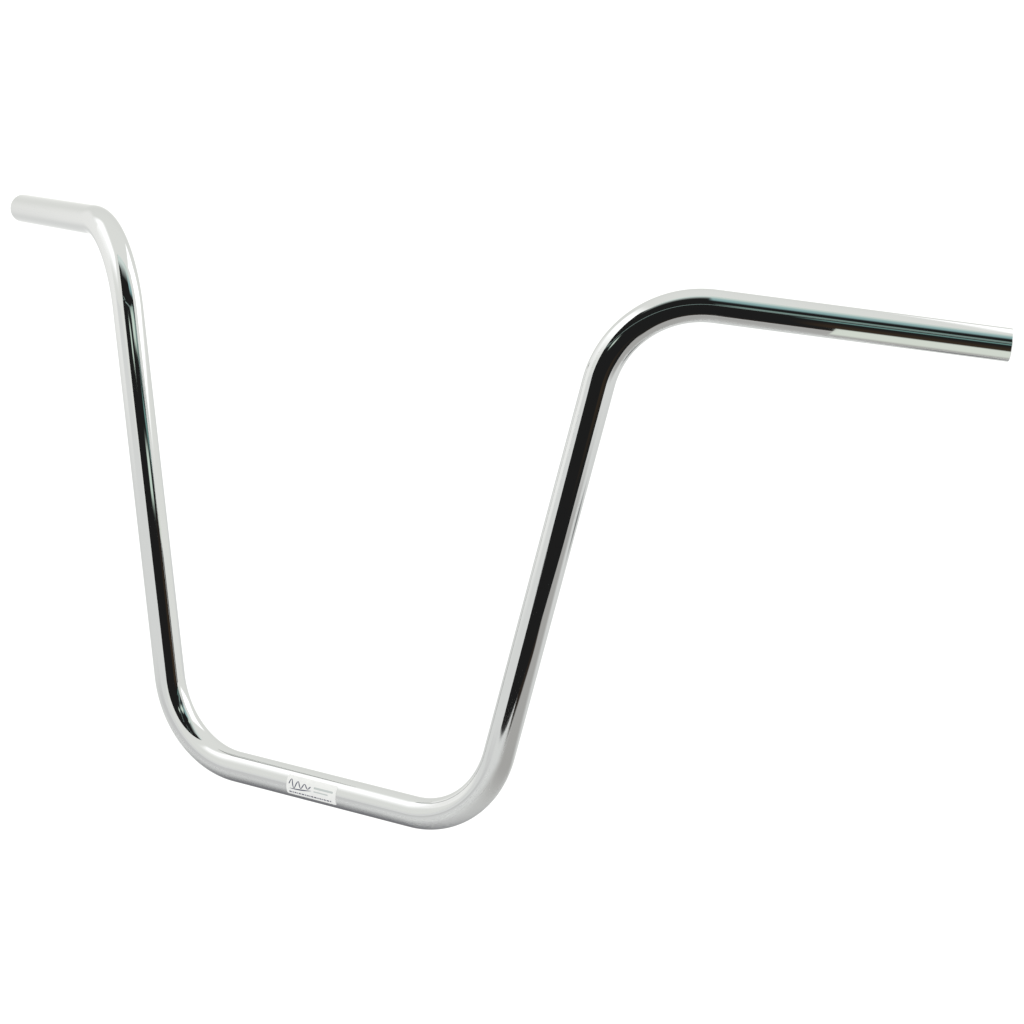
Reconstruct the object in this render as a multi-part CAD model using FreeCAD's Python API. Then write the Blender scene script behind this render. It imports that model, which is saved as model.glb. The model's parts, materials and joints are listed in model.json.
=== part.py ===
"""High-rise motorcycle handlebar: one bent steel tube and its adhesive label.

Frame: the origin is the middle of the straight section that the risers clamp.
+X runs along that section, +Z is up in the plane of the two uprights, and +Y points
to the rider, which is the way the grips are pulled back. The front faces -Y.
The bar is mirror-symmetric about the YZ plane. Lengths are in millimetres.
"""
import FreeCAD, Part
import math
import os

# The tube: 7/8 inch outside diameter steel.
TUBE_RADIUS = 11.1
WALL = 2.0
BORE_RADIUS = TUBE_RADIUS - WALL
OUTER_CHAMFER = 0.5
INNER_CHAMFER = 0.3

# The centreline, as straight runs that meet at corners, before the corners are bent round.
CLAMP_HALF_RUN = 136.0      # middle of the bar to the lower corner
UPRIGHT_RUN = 390.0         # lower corner to upper corner
GRIP_RUN = 256.0            # upper corner to the end of the bar
UPRIGHT_LEAN_DEG = 12.3     # outwards from vertical
GRIP_PULLBACK_DEG = 31.5    # towards the rider, from straight out
GRIP_DROP_DEG = 3.2         # below level, at the end
BEND_RADIUS = 70.0          # of the centreline, the same die for all four bends

# The label, stuck to the front of the clamped section.
LABEL_LENGTH = 44.5
LABEL_MIDDLE_X = -3.2
LABEL_THICKNESS = 0.08
LABEL_LOWER_DEG = -36.0     # round the tube from the front (-Y), upwards positive
LABEL_UPPER_DEG = 40.0

MIDDLE = FreeCAD.Vector(0, 0, 0)
X_AXIS = FreeCAD.Vector(1, 0, 0)


def direction_of_upright():
    lean = math.radians(UPRIGHT_LEAN_DEG)
    return FreeCAD.Vector(math.sin(lean), 0, math.cos(lean))


def direction_of_grip():
    back = math.radians(GRIP_PULLBACK_DEG)
    drop = math.radians(GRIP_DROP_DEG)
    level = math.cos(drop)
    return FreeCAD.Vector(level * math.cos(back), level * math.sin(back), -math.sin(drop))


def tube_section(centre, along):
    """The ring-shaped cross-section of the tube, square to the centreline."""
    rings = [Part.Wire(Part.makeCircle(radius, centre, along)) for radius in (TUBE_RADIUS, BORE_RADIUS)]
    outer, bore = [Part.Face(ring) for ring in rings]
    return outer.cut(bore)


def straight(start, end):
    """A straight piece of tube between two points of the centreline."""
    run = end - start
    return tube_section(start, run).extrude(run)


def bend(start, before, after):
    """A bent piece of tube that turns from one direction to the next, and where it ends."""
    pivot_axis = before.cross(after).normalize()
    inward = pivot_axis.cross(before).normalize()
    pivot = start + inward * BEND_RADIUS
    turn = math.degrees(before.getAngle(after))
    piece = tube_section(start, before).revolve(pivot, pivot_axis, turn)
    spin = FreeCAD.Rotation(pivot_axis, turn)
    return piece, pivot + spin.multVec(start - pivot)


def setback(before, after):
    """How far before a corner its bend starts."""
    return BEND_RADIUS * math.tan(before.getAngle(after) / 2)


def deburred(piece, end):
    """The same piece with both rims at the open end of the bar broken by small chamfers."""
    sizes = {TUBE_RADIUS: OUTER_CHAMFER, BORE_RADIUS: INNER_CHAMFER}
    for radius, size in sizes.items():
        rims = [
            edge
            for edge in piece.Edges
            if isinstance(edge.Curve, Part.Circle)
            and abs(edge.Curve.Radius - radius) < 0.01
            and edge.Curve.Center.distanceToPoint(end) < 0.01
        ]
        piece = piece.makeChamfer(size, rims)
    return piece


def half_of_bar():
    """The right half's pieces, from the middle of the bar out to its end at +X."""
    upright = direction_of_upright()
    grip = direction_of_grip()
    lower_corner = X_AXIS * CLAMP_HALF_RUN
    upper_corner = lower_corner + upright * UPRIGHT_RUN
    end = upper_corner + grip * GRIP_RUN

    lower_start = lower_corner - X_AXIS * setback(X_AXIS, upright)
    lower_bend, lower_end = bend(lower_start, X_AXIS, upright)
    upper_start = upper_corner - upright * setback(upright, grip)
    upper_bend, upper_end = bend(upper_start, upright, grip)

    pieces = [lower_bend, straight(lower_end, upper_start), upper_bend]
    pieces.append(deburred(straight(upper_end, end), end))
    return pieces, lower_start


def mirrored(piece):
    return piece.mirror(MIDDLE, X_AXIS)


def make_bar_tube():
    """The whole tube as one solid: clamp section, two uprights, two grips and four bends."""
    right, clamp_end = half_of_bar()
    left = [mirrored(piece) for piece in right]
    clamp_section = straight(clamp_end * -1, clamp_end)
    return clamp_section.fuse(right + left).removeSplitter()


def make_label():
    """The curved label: a thin sheet wrapped part of the way round the clamp section."""
    start = FreeCAD.Vector(LABEL_MIDDLE_X - LABEL_LENGTH / 2, 0, 0)
    span = LABEL_UPPER_DEG - LABEL_LOWER_DEG
    front = FreeCAD.Vector(0, -1, 0)
    lower = FreeCAD.Rotation(X_AXIS, -LABEL_LOWER_DEG).multVec(front)
    inner_edge = start + lower * TUBE_RADIUS
    outer_edge = start + lower * (TUBE_RADIUS + LABEL_THICKNESS)
    strip = Part.makeLine(inner_edge, outer_edge).extrude(X_AXIS * LABEL_LENGTH)
    return strip.revolve(start, X_AXIS, -span)


def export(name, shape):
    solids = shape.Solids
    assert len(solids) == 1 and solids[0].isValid(), name
    solids[0].exportStep("parts/" + name + ".step")
    print(name, "volume", round(solids[0].Volume, 1), "mm3, box", solids[0].BoundBox)


def centreline_length():
    turns = [X_AXIS.getAngle(direction_of_upright()), direction_of_upright().getAngle(direction_of_grip())]
    runs = CLAMP_HALF_RUN + UPRIGHT_RUN + GRIP_RUN
    saved = sum(BEND_RADIUS * (2 * math.tan(turn / 2) - turn) for turn in turns)
    return 2 * (runs - saved)


os.makedirs("parts", exist_ok=True)
export("bar_tube", make_bar_tube())
export("label", make_label())
section_area = math.pi * (TUBE_RADIUS**2 - BORE_RADIUS**2)
print("centreline", round(centreline_length(), 1), "mm, ideal volume", round(centreline_length() * section_area, 1))
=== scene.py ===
"""A chromed high-rise motorcycle handlebar with a small printed label, in a white light tent.

Metres throughout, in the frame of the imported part: +X along the clamped section, +Z up,
+Y towards the rider.
"""

import json
import math

import bpy
from mathutils import Matrix, Quaternion, Vector


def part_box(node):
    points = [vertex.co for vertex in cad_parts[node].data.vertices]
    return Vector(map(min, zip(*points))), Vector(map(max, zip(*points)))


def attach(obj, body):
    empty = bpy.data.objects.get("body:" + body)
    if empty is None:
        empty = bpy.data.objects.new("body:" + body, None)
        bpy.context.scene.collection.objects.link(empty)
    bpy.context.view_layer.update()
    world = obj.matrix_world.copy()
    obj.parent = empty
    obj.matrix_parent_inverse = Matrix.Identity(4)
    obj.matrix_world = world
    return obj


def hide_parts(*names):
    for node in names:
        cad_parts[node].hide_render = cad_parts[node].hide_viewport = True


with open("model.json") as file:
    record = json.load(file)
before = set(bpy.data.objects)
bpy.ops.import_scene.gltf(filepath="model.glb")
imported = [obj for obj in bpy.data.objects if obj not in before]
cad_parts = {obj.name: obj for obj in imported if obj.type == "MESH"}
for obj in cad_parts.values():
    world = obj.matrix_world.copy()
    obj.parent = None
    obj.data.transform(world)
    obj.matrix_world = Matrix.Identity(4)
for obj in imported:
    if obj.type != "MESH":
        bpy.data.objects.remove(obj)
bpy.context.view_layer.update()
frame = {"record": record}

# The camera's place, turn and lens.
CAMERA_PLACE = Vector((1.3333, -1.7733, 0.5972))
CAMERA_YAW_DEG = 33.84
CAMERA_PITCH_DEG = -9.92
CAMERA_ROLL_DEG = 4.06
FOCAL_LENGTH_MM = 112.5
SENSOR_WIDTH_MM = 36.0

# The bar's centreline: straight runs that meet at corners, and the radius of every bend.
CLAMP_HALF_RUN = 0.136
UPRIGHT_RUN = 0.390
GRIP_RUN = 0.256
UPRIGHT_LEAN_DEG = 12.3
GRIP_PULLBACK_DEG = 31.5
GRIP_DROP_DEG = 3.2
BEND_RADIUS = 0.070

# The tube's section, from the part's own mounts.
MOUNTS = {mount["name"]: mount for mount in frame["record"]["mounts"]}
TUBE_RADIUS = MOUNTS["clamp"]["dims"]["r_mm"] / 1000
BORE_RADIUS = MOUNTS["bar_end_left"]["dims"]["r_mm"] / 1000
OUTER_CHAMFER = 0.0005
INNER_CHAMFER = 0.0003

# How finely the tube is divided.
SIDES = 96
STRAIGHT_STEP = 0.012
BEND_STEP_DEG = 1.5

# The plate. Its roughness goes from clean places to smudged ones.
CHROME_COLOUR = (0.55, 0.556, 0.554)
CHROME_EDGE_TINT = (0.8, 0.8, 0.8)
CHROME_ROUGHNESS = (0.035, 0.075)
RIPPLE_HEIGHT = 0.00003
POLISHING_LINE_HEIGHT = 0.0000006

# Inside the bore the plate loses its polish, then ends along a ragged edge at bare steel.
BORE_DULL_DEPTH = 0.003
PLATED_DEPTH = 0.0068       # where the plate starts to give way at the latest
PLATE_EDGE_RAGGED = 0.006   # how much earlier than that it may start
PLATE_EDGE_WIDTH = 0.004
RAW_STEEL_COLOUR = (0.32, 0.28, 0.24)
RAW_STEEL_METALLIC = 0.25   # it carries dull oxide scale
RAW_STEEL_ROUGHNESS = (0.4, 0.65)

# The label's film and inks, and its print in millimetres from its lower left corner.
LABEL_CORNER = 1.5
LABEL_CELL = 0.16
FILM_COLOURS = ((0.64, 0.64, 0.65), (0.73, 0.73, 0.72))
FILM_ROUGHNESS = (0.34, 0.46)
INKS = (("grey_ink", (0.42, 0.45, 0.45)), ("dark_ink", (0.040, 0.042, 0.085)))
INK_COVER = (0.55, 1.0)     # on specks of the film that take ink badly, and elsewhere
PRINT_SOFTNESS = 0.10
WAVE_TURNS = 3.1
FLOURISH_RIGHT = 23
DASHES_LEFT = 2.2
DASHES_RIGHT_MARGIN = 4.0
DASHES_MIDDLE = 2.2
DASHES_TOP = 4
DASH_HEIGHT = 1.15
DASH_GAP = 0.55
DASH_PATTERN = (2.4, 1.3, 1.8, 0.9, 2.1)
# Grey bars beside the flourish: left, right, middle, height.
GREY_BARS = [(24.5, 41.8, 9.3, 1.5), (24.5, 37.5, 6.6, 0.9)]

# The studio is a white light tent on a pale table, open at the front towards a dim room.
# Azimuth 0 is the front and 90 is +X, and left and right are as seen from the front.
# Radiances are linear red, green and blue.
TENT_COLOUR = (0.99, 1, 0.965)
TENT_STRENGTH = 1.26
TABLE_COLOUR = (0.93, 0.93, 0.95)
TABLE_SIZE = 30
FLOOR_HEIGHT = -0.12

# The opening and what is dark beside it: outlines as they stand, sideways and up.
OPENING_AZIMUTH_DEG = 37
OPENING_DISTANCE = 0.5
OPENING_LEFT = -0.52
OPENING_OUTLINE = [
    (-0.33, FLOOR_HEIGHT),
    (0.60, FLOOR_HEIGHT),
    (0.60, 1.70),
    (OPENING_LEFT, 1.70),
    (OPENING_LEFT, 0.28),
    (-0.36, 0.0),
]
DARK_BOX_OUTLINE = [(0.55, 0.10), (0.95, 0.10), (0.95, 0.34), (0.55, 0.34)]
# The tent's cloth is drawn aside nearer to the bar, more so higher up.
GAP_AZIMUTH_DEG = -5
GAP_OUTLINE = [(0.07, 0.02), (0.07, 0.95), (-0.08, 0.95), (-0.03, 0.30)]

# The dim room and its lights, which all start at a place sideways and go on to the right.
ROOM_DARK = (0.022, 0.022, 0.022)
ROOM_FADE = 0.03            # how far sideways a thing in the room takes to come up
# Light high in the room: heights between which it comes up, start, radiance.
HIGH_LIGHTS = [
    (0.67, 0.80, 0.19, (0.42, 0.68, 0.68)),
    (0.86, 1.35, OPENING_LEFT, (1.05, 1.18, 1.13)),
    (1.05, 1.70, 0.19, (0.95, 1.09, 1.00)),
]
# A far line of light and the shelves: height, half thickness, start, radiance.
SHELVES = [
    (0.465, 0.012, OPENING_LEFT, (0.45, 0.60, 0.56)),
    (0.180, 0.160, 0.26, (0.065, 0.044, 0.027)),
    (0.505, 0.045, 0.21, (0.40, 0.58, 0.53)),
    (0.405, 0.035, 0.27, (0.28, 0.52, 0.48)),
]

# Cards. Each starts with its name, width, height, radiance and the shares of its width and
# height over which it fades out at its edges.
# Upright cards go on with their azimuth, distance and height.
WALL_LIGHTS = [
    ("front_left_light", 1.7, 1.75, (2.0, 2.0, 2.0), (0.2, 0.5), -57, 1.0, 1.225),
    ("back_right_light", 1.15, 1.05, (2.4, 2.4, 2.4), (0.2, 0.12), 140, 1.0, 0.93),
    ("left_wall", 1.5, 1.15, (1.46, 1.46, 1.43), (0.25, 0.3), -80, 1.1, 0.45),
]
# Level cards in the air go on with their place and their turn in degrees.
LEVEL_CARDS = [
    ("light_above", 0.70, 1.25, (2.1, 2.1, 2.1), (0.12, 0.12), (0.495, 0.863, 1.3), 35),
    ("shade_behind_grip", 0.20, 0.22, (0.30, 0.31, 0.31), (0.5, 0.5), (0.33, 0.28, 0.10), 0),
    ("pale_flap_under_grip", 0.16, 0.18, (1.15, 1.22, 1.10), (0.01, 0.3), (0.44, 0.06, 0.27), 35),
]
# Patches on the table go on with their place and turn; each lies over the one before it.
TABLE_PATCHES = [
    ("grey_table", 1.1, 0.9, (0.66, 0.65, 0.63), (0.35, 0.35), (0.55, 0.05), 0),
    ("near_table", 0.9, 0.8, (0.97, 0.97, 0.97), (0.4, 0.4), (-0.35, -0.35), 0),
    ("shade_under_bar", 0.62, 0.46, (0.30, 0.30, 0.32), (0.45, 0.5), (-0.08, 0.07), 0),
    ("dark_floor_at_opening", 0.30, 0.16, (0.042, 0.032, 0.025), (0.2, 0.3), (0.5254, -0.1988), 37),
]
PATCH_FIRST_GAP = 0.001
PATCH_GAP = 0.0005

# One-sided lamps turned to the upright at -X, for the thin bright lines in its dark band:
# place, width, height.
LAMP_RADIANCE = (0.95, 1.14, 1.00)
LAMP_FADE = (0.3, 0.4)
LAMPS_FACE = Vector((-0.186, 0, 0))  # a place on that upright, seen from above
LAMPS = [
    ((0.064, -0.114, 0.372), 0.125, 0.060),
    ((0.080, -0.127, 0.250), 0.115, 0.080),
    ((0.180, -0.460, 0.387), 0.120, 0.070),
]


# ---------------------------------------------------------------- node helpers


def new_material(name):
    """A material, its nodes and links, and its Principled shader."""
    material = bpy.data.materials.new(name)
    material.use_nodes = True
    nodes = material.node_tree.nodes
    return material, nodes, material.node_tree.links, nodes["Principled BSDF"]


def empty_material(name):
    """A material with no nodes yet, its nodes and its links."""
    material = bpy.data.materials.new(name)
    material.use_nodes = True
    material.node_tree.nodes.clear()
    return material, material.node_tree.nodes, material.node_tree.links


def add_node(nodes, kind, **values):
    """A new node; each value sets an input socket of that name, or else a property."""
    node = nodes.new(kind)
    for name, value in values.items():
        socket = node.inputs.get(name.replace("_", " "))
        if socket is None:
            setattr(node, name, value)
        else:
            socket.default_value = value
    return node


def attribute(nodes, name):
    """A value kept at each point of a mesh."""
    return add_node(nodes, "ShaderNodeAttribute", attribute_name=name)


def maths(nodes, links, operation, *values):
    """One step of arithmetic; each value is an output or a plain number."""
    node = add_node(nodes, "ShaderNodeMath", operation=operation)
    for value, socket in zip(values, node.inputs):
        if isinstance(value, (int, float)):
            socket.default_value = value
        else:
            links.new(value, socket)
    return node.outputs[0]


def mix_values(nodes, links, factor, first, second):
    """A value that goes from the first to the second; both are outputs."""
    node = add_node(nodes, "ShaderNodeMix", data_type="FLOAT")
    links.new(factor, node.inputs["Factor"])
    links.new(first, node.inputs["A"])
    links.new(second, node.inputs["B"])
    return node.outputs["Result"]


def mix_colours(nodes, links, factor, first, second):
    """A colour that goes from the first to the second; each is an output or a plain colour."""
    node = add_node(nodes, "ShaderNodeMix", data_type="RGBA")
    links.new(factor, node.inputs["Factor"])
    # a mix node's two colours are its sockets 6 and 7, and their mix is its output 2
    for colour, socket in ((first, node.inputs[6]), (second, node.inputs[7])):
        if isinstance(colour, tuple):
            socket.default_value = (*colour, 1)
        else:
            links.new(colour, socket)
    return node.outputs[2]


def remap(nodes, links, source, from_low, from_high, to_low, to_high):
    """Turns one range of a value into another, and stops at its ends."""
    node = nodes.new("ShaderNodeMapRange")
    links.new(source, node.inputs["Value"])
    limits = {"From Min": from_low, "From Max": from_high, "To Min": to_low, "To Max": to_high}
    for name, value in limits.items():
        node.inputs[name].default_value = value
    return node.outputs["Result"]


# ---------------------------------------------------------------- the tube's shape


def bar_corners():
    """The corners of the centreline from the middle of the bar out to its end at +X."""
    lean = math.radians(UPRIGHT_LEAN_DEG)
    back = math.radians(GRIP_PULLBACK_DEG)
    drop = math.radians(GRIP_DROP_DEG)
    upright = Vector((math.sin(lean), 0, math.cos(lean)))
    grip = Vector((math.cos(drop) * math.cos(back), math.cos(drop) * math.sin(back), -math.sin(drop)))
    lower = Vector((CLAMP_HALF_RUN, 0, 0))
    upper = lower + upright * UPRIGHT_RUN
    return [lower, upper, upper + grip * GRIP_RUN]


def straight_steps(start, end):
    """Points along a straight run, without its last."""
    count = max(1, round((end - start).length / STRAIGHT_STEP))
    return [start.lerp(end, step / count) for step in range(count)]


def bend_steps(corner, before, after):
    """Points round the bend at a corner, with both ends."""
    turn = before.angle(after)
    setback = BEND_RADIUS * math.tan(turn / 2)
    start = corner - before * setback
    axis = before.cross(after).normalized()
    pivot = start + axis.cross(before) * BEND_RADIUS
    count = max(2, round(math.degrees(turn) / BEND_STEP_DEG))
    steps = []
    for step in range(count + 1):
        spin = Quaternion(axis, turn * step / count)
        steps.append(pivot + spin @ (start - pivot))
    return steps


def centreline():
    """Every ring's centre, from the end at -X to the end at +X."""
    right = bar_corners()
    left = [Vector((-point.x, point.y, point.z)) for point in reversed(right)]
    corners = left + right
    points = []
    reached = corners[0]
    for before, corner, after in zip(corners, corners[1:], corners[2:]):
        steps = bend_steps(corner, (corner - before).normalized(), (after - corner).normalized())
        points += straight_steps(reached, steps[0]) + steps[:-1]
        reached = steps[-1]
    return points + straight_steps(reached, corners[-1]) + [corners[-1]]


def tangent(points, index):
    """The direction of the line at one of its points."""
    before = points[max(index - 1, 0)]
    after = points[min(index + 1, len(points) - 1)]
    return (after - before).normalized()


def carried_frames(points):
    """At each point the tangent and two directions across it, carried along without twist."""
    along = tangent(points, 0)
    across = along.cross(Vector((0, 0, 1))).normalized()
    frames = []
    for index in range(len(points)):
        ahead = tangent(points, index)
        across = along.rotation_difference(ahead) @ across
        along = ahead
        frames.append((along, across, along.cross(across)))
    return frames


def tube_rings(points):
    """One closed circuit of rings: along the outside, round one end, back through the bore."""
    last = len(points) - 1
    frames = carried_frames(points)
    travelled = [0.0]
    for before, after in zip(points, points[1:]):
        travelled.append(travelled[-1] + (after - before).length)
    outside = [(index, TUBE_RADIUS, 0.0) for index in range(1, last)]
    bore = [(index, BORE_RADIUS, 0.0) for index in reversed(range(1, last))]
    far_end = [
        (last, TUBE_RADIUS, -OUTER_CHAMFER),
        (last, TUBE_RADIUS - OUTER_CHAMFER, 0.0),
        (last, BORE_RADIUS + INNER_CHAMFER, 0.0),
        (last, BORE_RADIUS, -INNER_CHAMFER),
    ]
    near_end = [(0, radius, -shift) for _, radius, shift in reversed(far_end)]
    rings = []
    for index, radius, shift in outside + far_end + bore + near_end:
        along, across, other = frames[index]
        rings.append((points[index] + along * shift, across, other, radius, travelled[index] + shift))
    return rings


def bore_depths(surface):
    """How far each point is inside the bore from the nearer mouth, and 0 outside it."""
    total = max(travelled for _, _, travelled in surface)
    depths = []
    for x, y, travelled in surface:
        inside = math.hypot(x, y) < BORE_RADIUS + INNER_CHAMFER / 2
        depths.append(min(travelled, total - travelled) if inside else 0.0)
    return depths


def ring_faces(rings):
    """Quads between each ring and the next, and between the last and the first."""
    faces = []
    for ring in range(rings):
        following = (ring + 1) % rings
        for side in range(SIDES):
            beside = (side + 1) % SIDES
            faces.append((
                ring * SIDES + side,
                ring * SIDES + beside,
                following * SIDES + beside,
                following * SIDES + side,
            ))
    return faces


def make_tube():
    """The hollow tube as one smooth closed mesh."""
    rings = tube_rings(centreline())
    places = []
    surface = []
    for centre, across, other, radius, travelled in rings:
        for side in range(SIDES):
            angle = 2 * math.pi * side / SIDES
            places.append(centre + (across * math.cos(angle) + other * math.sin(angle)) * radius)
            surface.append((radius * math.cos(angle), radius * math.sin(angle), travelled))
    mesh = bpy.data.meshes.new("bar_tube_chrome")
    mesh.from_pydata(places, [], ring_faces(len(rings)))
    # where each point is on the unrolled tube, for grain that follows the bends
    unrolled = mesh.attributes.new("unrolled", "FLOAT_VECTOR", "POINT")
    unrolled.data.foreach_set("vector", [value for place in surface for value in place])
    depth = mesh.attributes.new("depth_in_bore", "FLOAT", "POINT")
    depth.data.foreach_set("value", bore_depths(surface))
    mesh.shade_smooth()
    mesh.set_sharp_from_angle(angle=math.radians(30))
    tube = bpy.data.objects.new("bar_tube_chrome", mesh)
    bpy.context.scene.collection.objects.link(tube)
    return tube


# ---------------------------------------------------------------- materials


def noise(nodes, links, place, scale, detail, stretch=(1, 1, 1)):
    """Noise over the unrolled tube, drawn out along any direction whose stretch is under 1."""
    mapping = add_node(nodes, "ShaderNodeMapping", Scale=stretch)
    links.new(place, mapping.inputs["Vector"])
    texture = add_node(nodes, "ShaderNodeTexNoise", Scale=scale, Detail=detail)
    links.new(mapping.outputs["Vector"], texture.inputs["Vector"])
    return texture.outputs["Fac"]


def add_bump(nodes, links, height, distance, before=None):
    """A normal roughened by a height in metres, on top of an earlier one if there is one."""
    bump = add_node(nodes, "ShaderNodeBump", Distance=distance, Strength=1.0)
    links.new(height, bump.inputs["Height"])
    if before is not None:
        links.new(before, bump.inputs["Normal"])
    return bump.outputs["Normal"]


def chrome_material():
    """Bright plate with faint ripples and polishing lines; raw steel deeper in the bore."""
    material, nodes, links, shader = new_material("chrome")
    place = attribute(nodes, "unrolled").outputs["Vector"]
    depth = attribute(nodes, "depth_in_bore").outputs["Fac"]

    edge = noise(nodes, links, place, 250, 4)
    ragged = maths(nodes, links, "MULTIPLY_ADD", edge, PLATE_EDGE_RAGGED, depth)
    raw = remap(nodes, links, ragged, PLATED_DEPTH, PLATED_DEPTH + PLATE_EDGE_WIDTH, 0, 1)
    colour = mix_colours(nodes, links, raw, CHROME_COLOUR, RAW_STEEL_COLOUR)
    links.new(colour, shader.inputs["Base Color"])
    metallic = remap(nodes, links, raw, 0, 1, 1, RAW_STEEL_METALLIC)
    links.new(metallic, shader.inputs["Metallic"])
    shader.inputs["Specular Tint"].default_value = (*CHROME_EDGE_TINT, 1)

    smudges = remap(nodes, links, noise(nodes, links, place, 35, 3), 0.45, 0.75, *CHROME_ROUGHNESS)
    oxide = remap(nodes, links, noise(nodes, links, place, 600, 5), 0.3, 0.7, *RAW_STEEL_ROUGHNESS)
    dull = remap(nodes, links, depth, 0.0, BORE_DULL_DEPTH, 0, 1)
    links.new(mix_values(nodes, links, dull, smudges, oxide), shader.inputs["Roughness"])

    ripples = add_bump(nodes, links, noise(nodes, links, place, 45, 1), RIPPLE_HEIGHT)
    lines = noise(nodes, links, place, 1500, 2, stretch=(1, 1, 0.03))
    bumps = add_bump(nodes, links, lines, POLISHING_LINE_HEIGHT, ripples)
    links.new(bumps, shader.inputs["Normal"])
    return material


# ---------------------------------------------------------------- the label


def smooth_edge(distance):
    """1 inside a printed shape, 0 outside it, with a soft edge; distances in millimetres."""
    amount = min(max(0.5 - distance / PRINT_SOFTNESS, 0), 1)
    return amount * amount * (3 - 2 * amount)


def bar_distance(u, v, left, right, middle, height):
    """Distance outside a bar with round ends."""
    radius = height / 2
    nearest = min(max(u, left + radius), right - radius)
    return math.hypot(u - nearest, v - middle) - radius


def stroke_distance(u, v, stroke):
    """Distance outside a pen stroke, a list of points with the pen's width at each."""
    best = math.inf
    for (x0, y0, w0), (x1, y1, w1) in zip(stroke, stroke[1:]):
        run_x = x1 - x0
        run_y = y1 - y0
        share = ((u - x0) * run_x + (v - y0) * run_y) / (run_x**2 + run_y**2)
        share = min(max(share, 0), 1)
        gap = math.hypot(u - x0 - share * run_x, v - y0 - share * run_y)
        best = min(best, gap - (w0 + (w1 - w0) * share) / 2)
    return best


def flourish():
    """A wave that dies away, like a pen tried on paper, and one long stroke under it."""
    wave = []
    for step in range(49):
        share = step / 48
        phase = 2 * math.pi * WAVE_TURNS * share
        x = 2.4 + 19.0 * share
        y = 8.6 + 3.4 * (1 - 0.7 * share) * math.sin(phase)
        wave.append((x, y, 0.50 + 0.45 * math.cos(phase) ** 2))
    sweep = []
    for step in range(25):
        share = step / 24
        pen = 0.3 + 0.65 * math.sin(math.pi * share)
        sweep.append((3.2 + 19.0 * share, 5.0 + 1.6 * share**2, pen))
    return [wave, sweep]


def dashes(width):
    """The ends of a row of dashes from one margin to the other."""
    row = []
    left = DASHES_LEFT
    while left < width - DASHES_RIGHT_MARGIN:
        right = left + DASH_PATTERN[len(row) % len(DASH_PATTERN)]
        row.append((left, right))
        left = right + DASH_GAP
    return row


def print_density(u, v, strokes, row):
    """How much dark and how much grey ink a place on the label has."""
    distances = [math.inf]
    if v < DASHES_TOP:
        distances = [bar_distance(u, v, *ends, DASHES_MIDDLE, DASH_HEIGHT) for ends in row]
    elif u < FLOURISH_RIGHT:
        distances = [stroke_distance(u, v, stroke) for stroke in strokes]
    grey_distances = [bar_distance(u, v, *bar) for bar in GREY_BARS]
    return smooth_edge(min(distances)), smooth_edge(min(grey_distances))


def corner_inset(v, height):
    """How far the label's rounded corners draw in its sides at a place up it."""
    from_edge = min(v, height - v)
    if from_edge >= LABEL_CORNER:
        return 0
    return LABEL_CORNER - math.sqrt(LABEL_CORNER**2 - (LABEL_CORNER - from_edge) ** 2)


def make_label():
    """A thin curved sheet with rounded corners, closed all round, and its print as attributes."""
    low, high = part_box("label")
    top = -low[1]
    lower = math.asin(low[2] / top)
    upper = math.asin(high[2] / top)
    width = (high[0] - low[0]) * 1000
    height = (upper - lower) * top * 1000
    columns = round(width / LABEL_CELL)
    rows = round(height / LABEL_CELL)
    strokes = flourish()
    row_of_dashes = dashes(width)
    places = []
    ink = {"dark_ink": [], "grey_ink": []}
    for radius in (top, TUBE_RADIUS):
        for row in range(rows + 1):
            v = height * row / rows
            inset = corner_inset(v, height)
            angle = lower + (upper - lower) * row / rows
            for column in range(columns + 1):
                u = inset + (width - 2 * inset) * column / columns
                places.append((low[0] + u / 1000, -radius * math.cos(angle), radius * math.sin(angle)))
                dark, grey = print_density(u, v, strokes, row_of_dashes) if radius == top else (0, 0)
                ink["dark_ink"].append(dark)
                ink["grey_ink"].append(grey)
    mesh = bpy.data.meshes.new("label_film")
    mesh.from_pydata(places, [], label_faces(columns, rows))
    for name, values in ink.items():
        mesh.attributes.new(name, "FLOAT", "POINT").data.foreach_set("value", values)
    mesh.shade_smooth()
    mesh.set_sharp_from_angle(angle=math.radians(40))
    label = bpy.data.objects.new("label_film", mesh)
    bpy.context.scene.collection.objects.link(label)
    return label


def label_faces(columns, rows):
    """Quads of the label's outer sheet, its inner sheet and the narrow edge between them."""
    across = columns + 1
    sheet = across * (rows + 1)
    faces = []
    for row in range(rows):
        for column in range(columns):
            first = row * across + column
            quad = (first, first + 1, first + across + 1, first + across)
            faces.append(quad)
            faces.append(tuple(corner + sheet for corner in reversed(quad)))
    rim = list(range(columns))
    rim += [row * across + columns for row in range(rows)]
    rim += [rows * across + column for column in range(columns, 0, -1)]
    rim += [row * across for row in range(rows, 0, -1)]
    for here, beyond in zip(rim, rim[1:] + rim[:1]):
        faces.append((beyond, here, here + sheet, beyond + sheet))
    return faces


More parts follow.
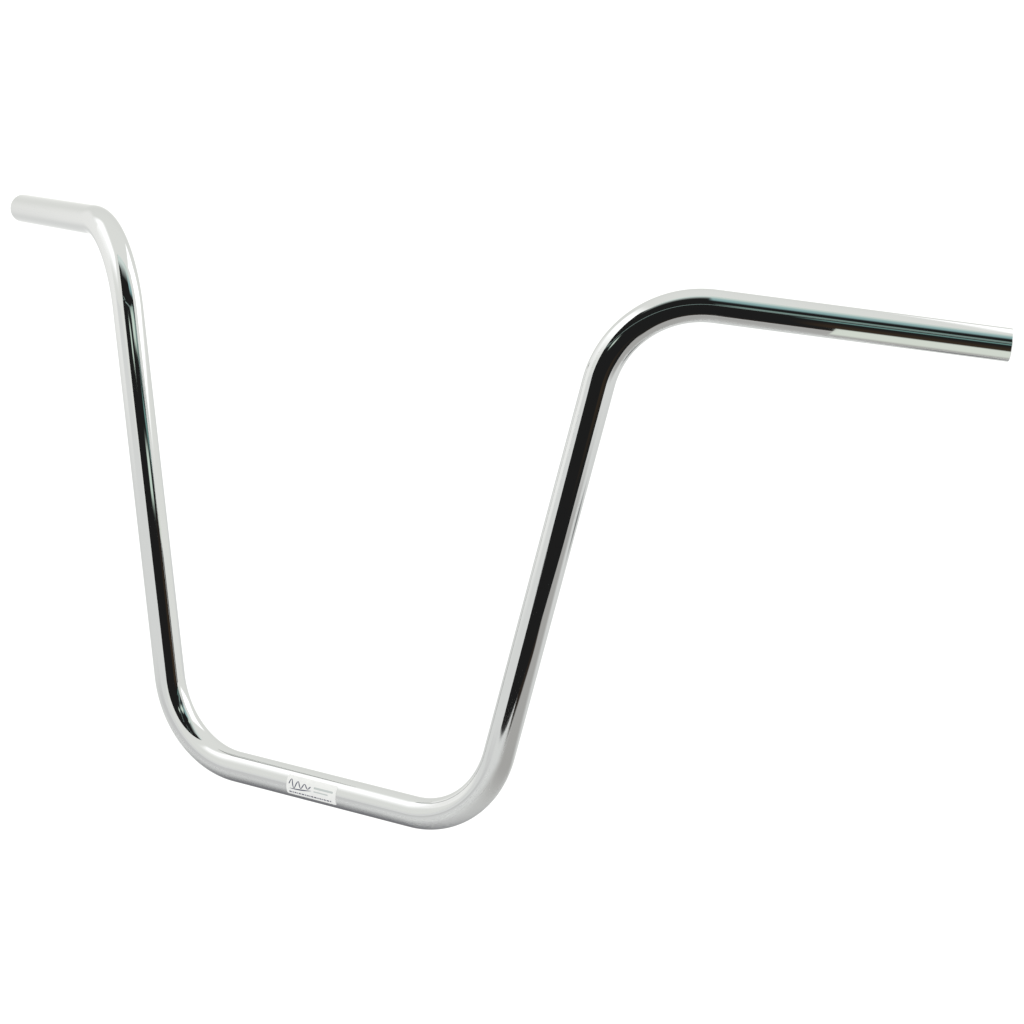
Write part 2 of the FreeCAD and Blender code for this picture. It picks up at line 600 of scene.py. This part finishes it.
def label_material():
    """White adhesive film, faintly uneven, printed in two inks that miss a few specks."""
    material, nodes, links, shader = new_material("label")
    place = nodes.new("ShaderNodeTexCoord").outputs["Object"]
    clouds = add_node(nodes, "ShaderNodeTexNoise", Scale=180.0, Detail=4.0)
    specks = add_node(nodes, "ShaderNodeTexNoise", Scale=3500.0, Detail=2.0)
    for texture in (clouds, specks):
        links.new(place, texture.inputs["Vector"])
    surface = mix_colours(nodes, links, clouds.outputs["Fac"], *FILM_COLOURS)
    cover = remap(nodes, links, specks.outputs["Fac"], 0.28, 0.40, *INK_COVER)
    for name, ink in INKS:
        amount = maths(nodes, links, "MULTIPLY", attribute(nodes, name).outputs["Fac"], cover)
        surface = mix_colours(nodes, links, amount, surface, ink)
    links.new(surface, shader.inputs["Base Color"])
    roughness = remap(nodes, links, clouds.outputs["Fac"], 0.3, 0.7, *FILM_ROUGHNESS)
    links.new(roughness, shader.inputs["Roughness"])
    waves = add_bump(nodes, links, clouds.outputs["Fac"], 0.00004)
    links.new(add_bump(nodes, links, specks.outputs["Fac"], 0.000002, waves), shader.inputs["Normal"])
    return material


# ---------------------------------------------------------------- studio


def flat_mesh(name, outline):
    """A flat card with the given outline in its own X and Y."""
    mesh = bpy.data.meshes.new(name)
    mesh.from_pydata([(x, y, 0) for x, y in outline], [], [tuple(range(len(outline)))])
    card = bpy.data.objects.new(name, mesh)
    bpy.context.scene.collection.objects.link(card)
    return card


def rectangle(width, height):
    """The outline of a rectangle about its middle."""
    w = width / 2
    h = height / 2
    return [(-w, -h), (w, -h), (w, h), (-w, h)]


def for_reflections_only(card):
    """Hides a card from the camera, and from diffuse light and shadows."""
    card.visible_camera = False
    card.visible_diffuse = False
    card.visible_shadow = False


def stand(card, azimuth_deg, distance, height):
    """Stands a card upright at an azimuth and a distance from the middle, facing it."""
    azimuth = math.radians(azimuth_deg)
    turn = Matrix.Rotation(azimuth, 4, "Z") @ Matrix.Rotation(math.radians(90), 4, "X")
    place = Vector((math.sin(azimuth) * distance, -math.cos(azimuth) * distance, height))
    card.matrix_world = Matrix.Translation(place) @ turn


def soft_mask(nodes, links, fade):
    """1 in the middle of a card, falling to 0 over a share of its width and of its height."""
    place = nodes.new("ShaderNodeTexCoord").outputs["Generated"]
    split = nodes.new("ShaderNodeSeparateXYZ")
    links.new(place, split.inputs[0])
    sides = []
    for axis, share in zip(("X", "Y"), fade):
        from_edge = maths(nodes, links, "PINGPONG", split.outputs[axis], 0.5)
        side = nodes.new("ShaderNodeMapRange")
        side.interpolation_type = "SMOOTHERSTEP"
        side.inputs["From Max"].default_value = share
        links.new(from_edge, side.inputs["Value"])
        sides.append(side.outputs["Result"])
    return maths(nodes, links, "MULTIPLY", *sides)


def soft_card(name, width, height, radiance, fade, one_sided=False):
    """A card of even light that fades out towards its edges, lit on one side or on both."""
    card = flat_mesh(name, rectangle(width, height))
    for_reflections_only(card)
    material, nodes, links = empty_material(name)
    light = add_node(nodes, "ShaderNodeEmission", Color=(*radiance, 1), Strength=1.0)
    clear = nodes.new("ShaderNodeBsdfTransparent")
    share = soft_mask(nodes, links, fade)
    if one_sided:
        behind = nodes.new("ShaderNodeNewGeometry").outputs["Backfacing"]
        share = maths(nodes, links, "MULTIPLY", share, maths(nodes, links, "SUBTRACT", 1, behind))
    blend = nodes.new("ShaderNodeMixShader")
    links.new(share, blend.inputs["Fac"])
    links.new(clear.outputs[0], blend.inputs[1])
    links.new(light.outputs[0], blend.inputs[2])
    output = nodes.new("ShaderNodeOutputMaterial")
    links.new(blend.outputs[0], output.inputs["Surface"])
    card.data.materials.append(material)
    return card


def room_material():
    """The dim room seen through the tent's opening, with bluish-green light in its right side."""
    material, nodes, links = empty_material("dim_room")
    split = nodes.new("ShaderNodeSeparateXYZ")
    links.new(nodes.new("ShaderNodeTexCoord").outputs["Object"], split.inputs[0])
    sideways = split.outputs["X"]
    height = split.outputs["Y"]
    things = []
    for low, high, start, radiance in HIGH_LIGHTS:
        things.append((remap(nodes, links, height, low, high, 0, 1), start, radiance))
    for middle, half_thickness, start, radiance in SHELVES:
        away = maths(nodes, links, "ABSOLUTE", maths(nodes, links, "SUBTRACT", height, middle))
        things.append((remap(nodes, links, away, 0, half_thickness, 1, 0), start, radiance))
    colour = ROOM_DARK
    for up, start, radiance in things:
        across = remap(nodes, links, sideways, start, start + ROOM_FADE, 0, 1)
        amount = maths(nodes, links, "MULTIPLY", up, across)
        colour = mix_colours(nodes, links, amount, colour, radiance)
    light = add_node(nodes, "ShaderNodeEmission", Strength=1.0)
    links.new(colour, light.inputs["Color"])
    output = nodes.new("ShaderNodeOutputMaterial")
    links.new(light.outputs[0], output.inputs["Surface"])
    return material


def make_opening():
    """The tent's dark front opening, which is where the bar's dark bands come from."""
    room = room_material()
    dark_cards = [
        ("opening", OPENING_OUTLINE, OPENING_AZIMUTH_DEG),
        ("gap_beside_opening", GAP_OUTLINE, GAP_AZIMUTH_DEG),
        ("dark_box_beside_opening", DARK_BOX_OUTLINE, OPENING_AZIMUTH_DEG),
    ]
    for name, outline, azimuth_deg in dark_cards:
        card = flat_mesh(name, outline)
        stand(card, azimuth_deg, OPENING_DISTANCE, 0)
        for_reflections_only(card)
        card.data.materials.append(room)


def make_cards():
    """Bright patches on the tent's walls, and the pale and shaded things round the bar."""
    for name, width, height, radiance, fade, azimuth_deg, distance, middle in WALL_LIGHTS:
        stand(soft_card(name, width, height, radiance, fade), azimuth_deg, distance, middle)
    for name, width, height, radiance, fade, place, turn_deg in LEVEL_CARDS:
        card = soft_card(name, width, height, radiance, fade)
        card.location = place
        card.rotation_euler.z = math.radians(turn_deg)
    for layer, patch in enumerate(TABLE_PATCHES):
        name, width, height, radiance, fade, place, turn_deg = patch
        card = soft_card(name, width, height, radiance, fade)
        card.location = (*place, FLOOR_HEIGHT + PATCH_FIRST_GAP + PATCH_GAP * layer)
        card.rotation_euler.z = math.radians(turn_deg)


def make_lamps():
    """Stands the small lamps up, each turned level to the upright at -X."""
    for place, width, height in LAMPS:
        lamp = soft_card("lamp", width, height, LAMP_RADIANCE, LAMP_FADE, one_sided=True)
        lamp.location = place
        towards = LAMPS_FACE - Vector((place[0], place[1], 0))
        lamp.rotation_mode = "QUATERNION"
        lamp.rotation_quaternion = towards.to_track_quat("Z", "Y")


def make_table():
    """The pale matt table that the tent stands on."""
    table = flat_mesh("floor", rectangle(TABLE_SIZE, TABLE_SIZE))
    table.location.z = FLOOR_HEIGHT
    material, _, _, shader = new_material("floor")
    shader.inputs["Base Color"].default_value = (*TABLE_COLOUR, 1)
    shader.inputs["Roughness"].default_value = 0.9
    shader.inputs["Specular IOR Level"].default_value = 0.0
    table.data.materials.append(material)


def make_world():
    """The white light that comes through the tent's cloth from every side."""
    world = bpy.data.worlds.new("light_tent")
    bpy.context.scene.world = world
    world.use_nodes = True
    background = world.node_tree.nodes["Background"]
    background.inputs["Color"].default_value = (*TENT_COLOUR, 1)
    background.inputs["Strength"].default_value = TENT_STRENGTH


def make_camera():
    """The camera that takes the main picture."""
    data = bpy.data.cameras.new("camera")
    data.lens = FOCAL_LENGTH_MM
    data.sensor_width = SENSOR_WIDTH_MM
    camera = bpy.data.objects.new("camera", data)
    bpy.context.scene.collection.objects.link(camera)
    yaw = Matrix.Rotation(math.radians(CAMERA_YAW_DEG), 4, "Z")
    pitch = Matrix.Rotation(math.radians(90 + CAMERA_PITCH_DEG), 4, "X")
    roll = Matrix.Rotation(math.radians(CAMERA_ROLL_DEG), 4, "Z")
    camera.matrix_world = Matrix.Translation(CAMERA_PLACE) @ yaw @ pitch @ roll
    bpy.context.scene.camera = camera


make_camera()
make_world()
make_table()
make_opening()
make_cards()
make_lamps()
bpy.context.scene.view_settings.view_transform = "Standard"

tube = make_tube()
tube.data.materials.append(chrome_material())
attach(tube, "root")
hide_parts("bar_tube")

label = make_label()
label.data.materials.append(label_material())
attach(label, "root")
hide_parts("label")
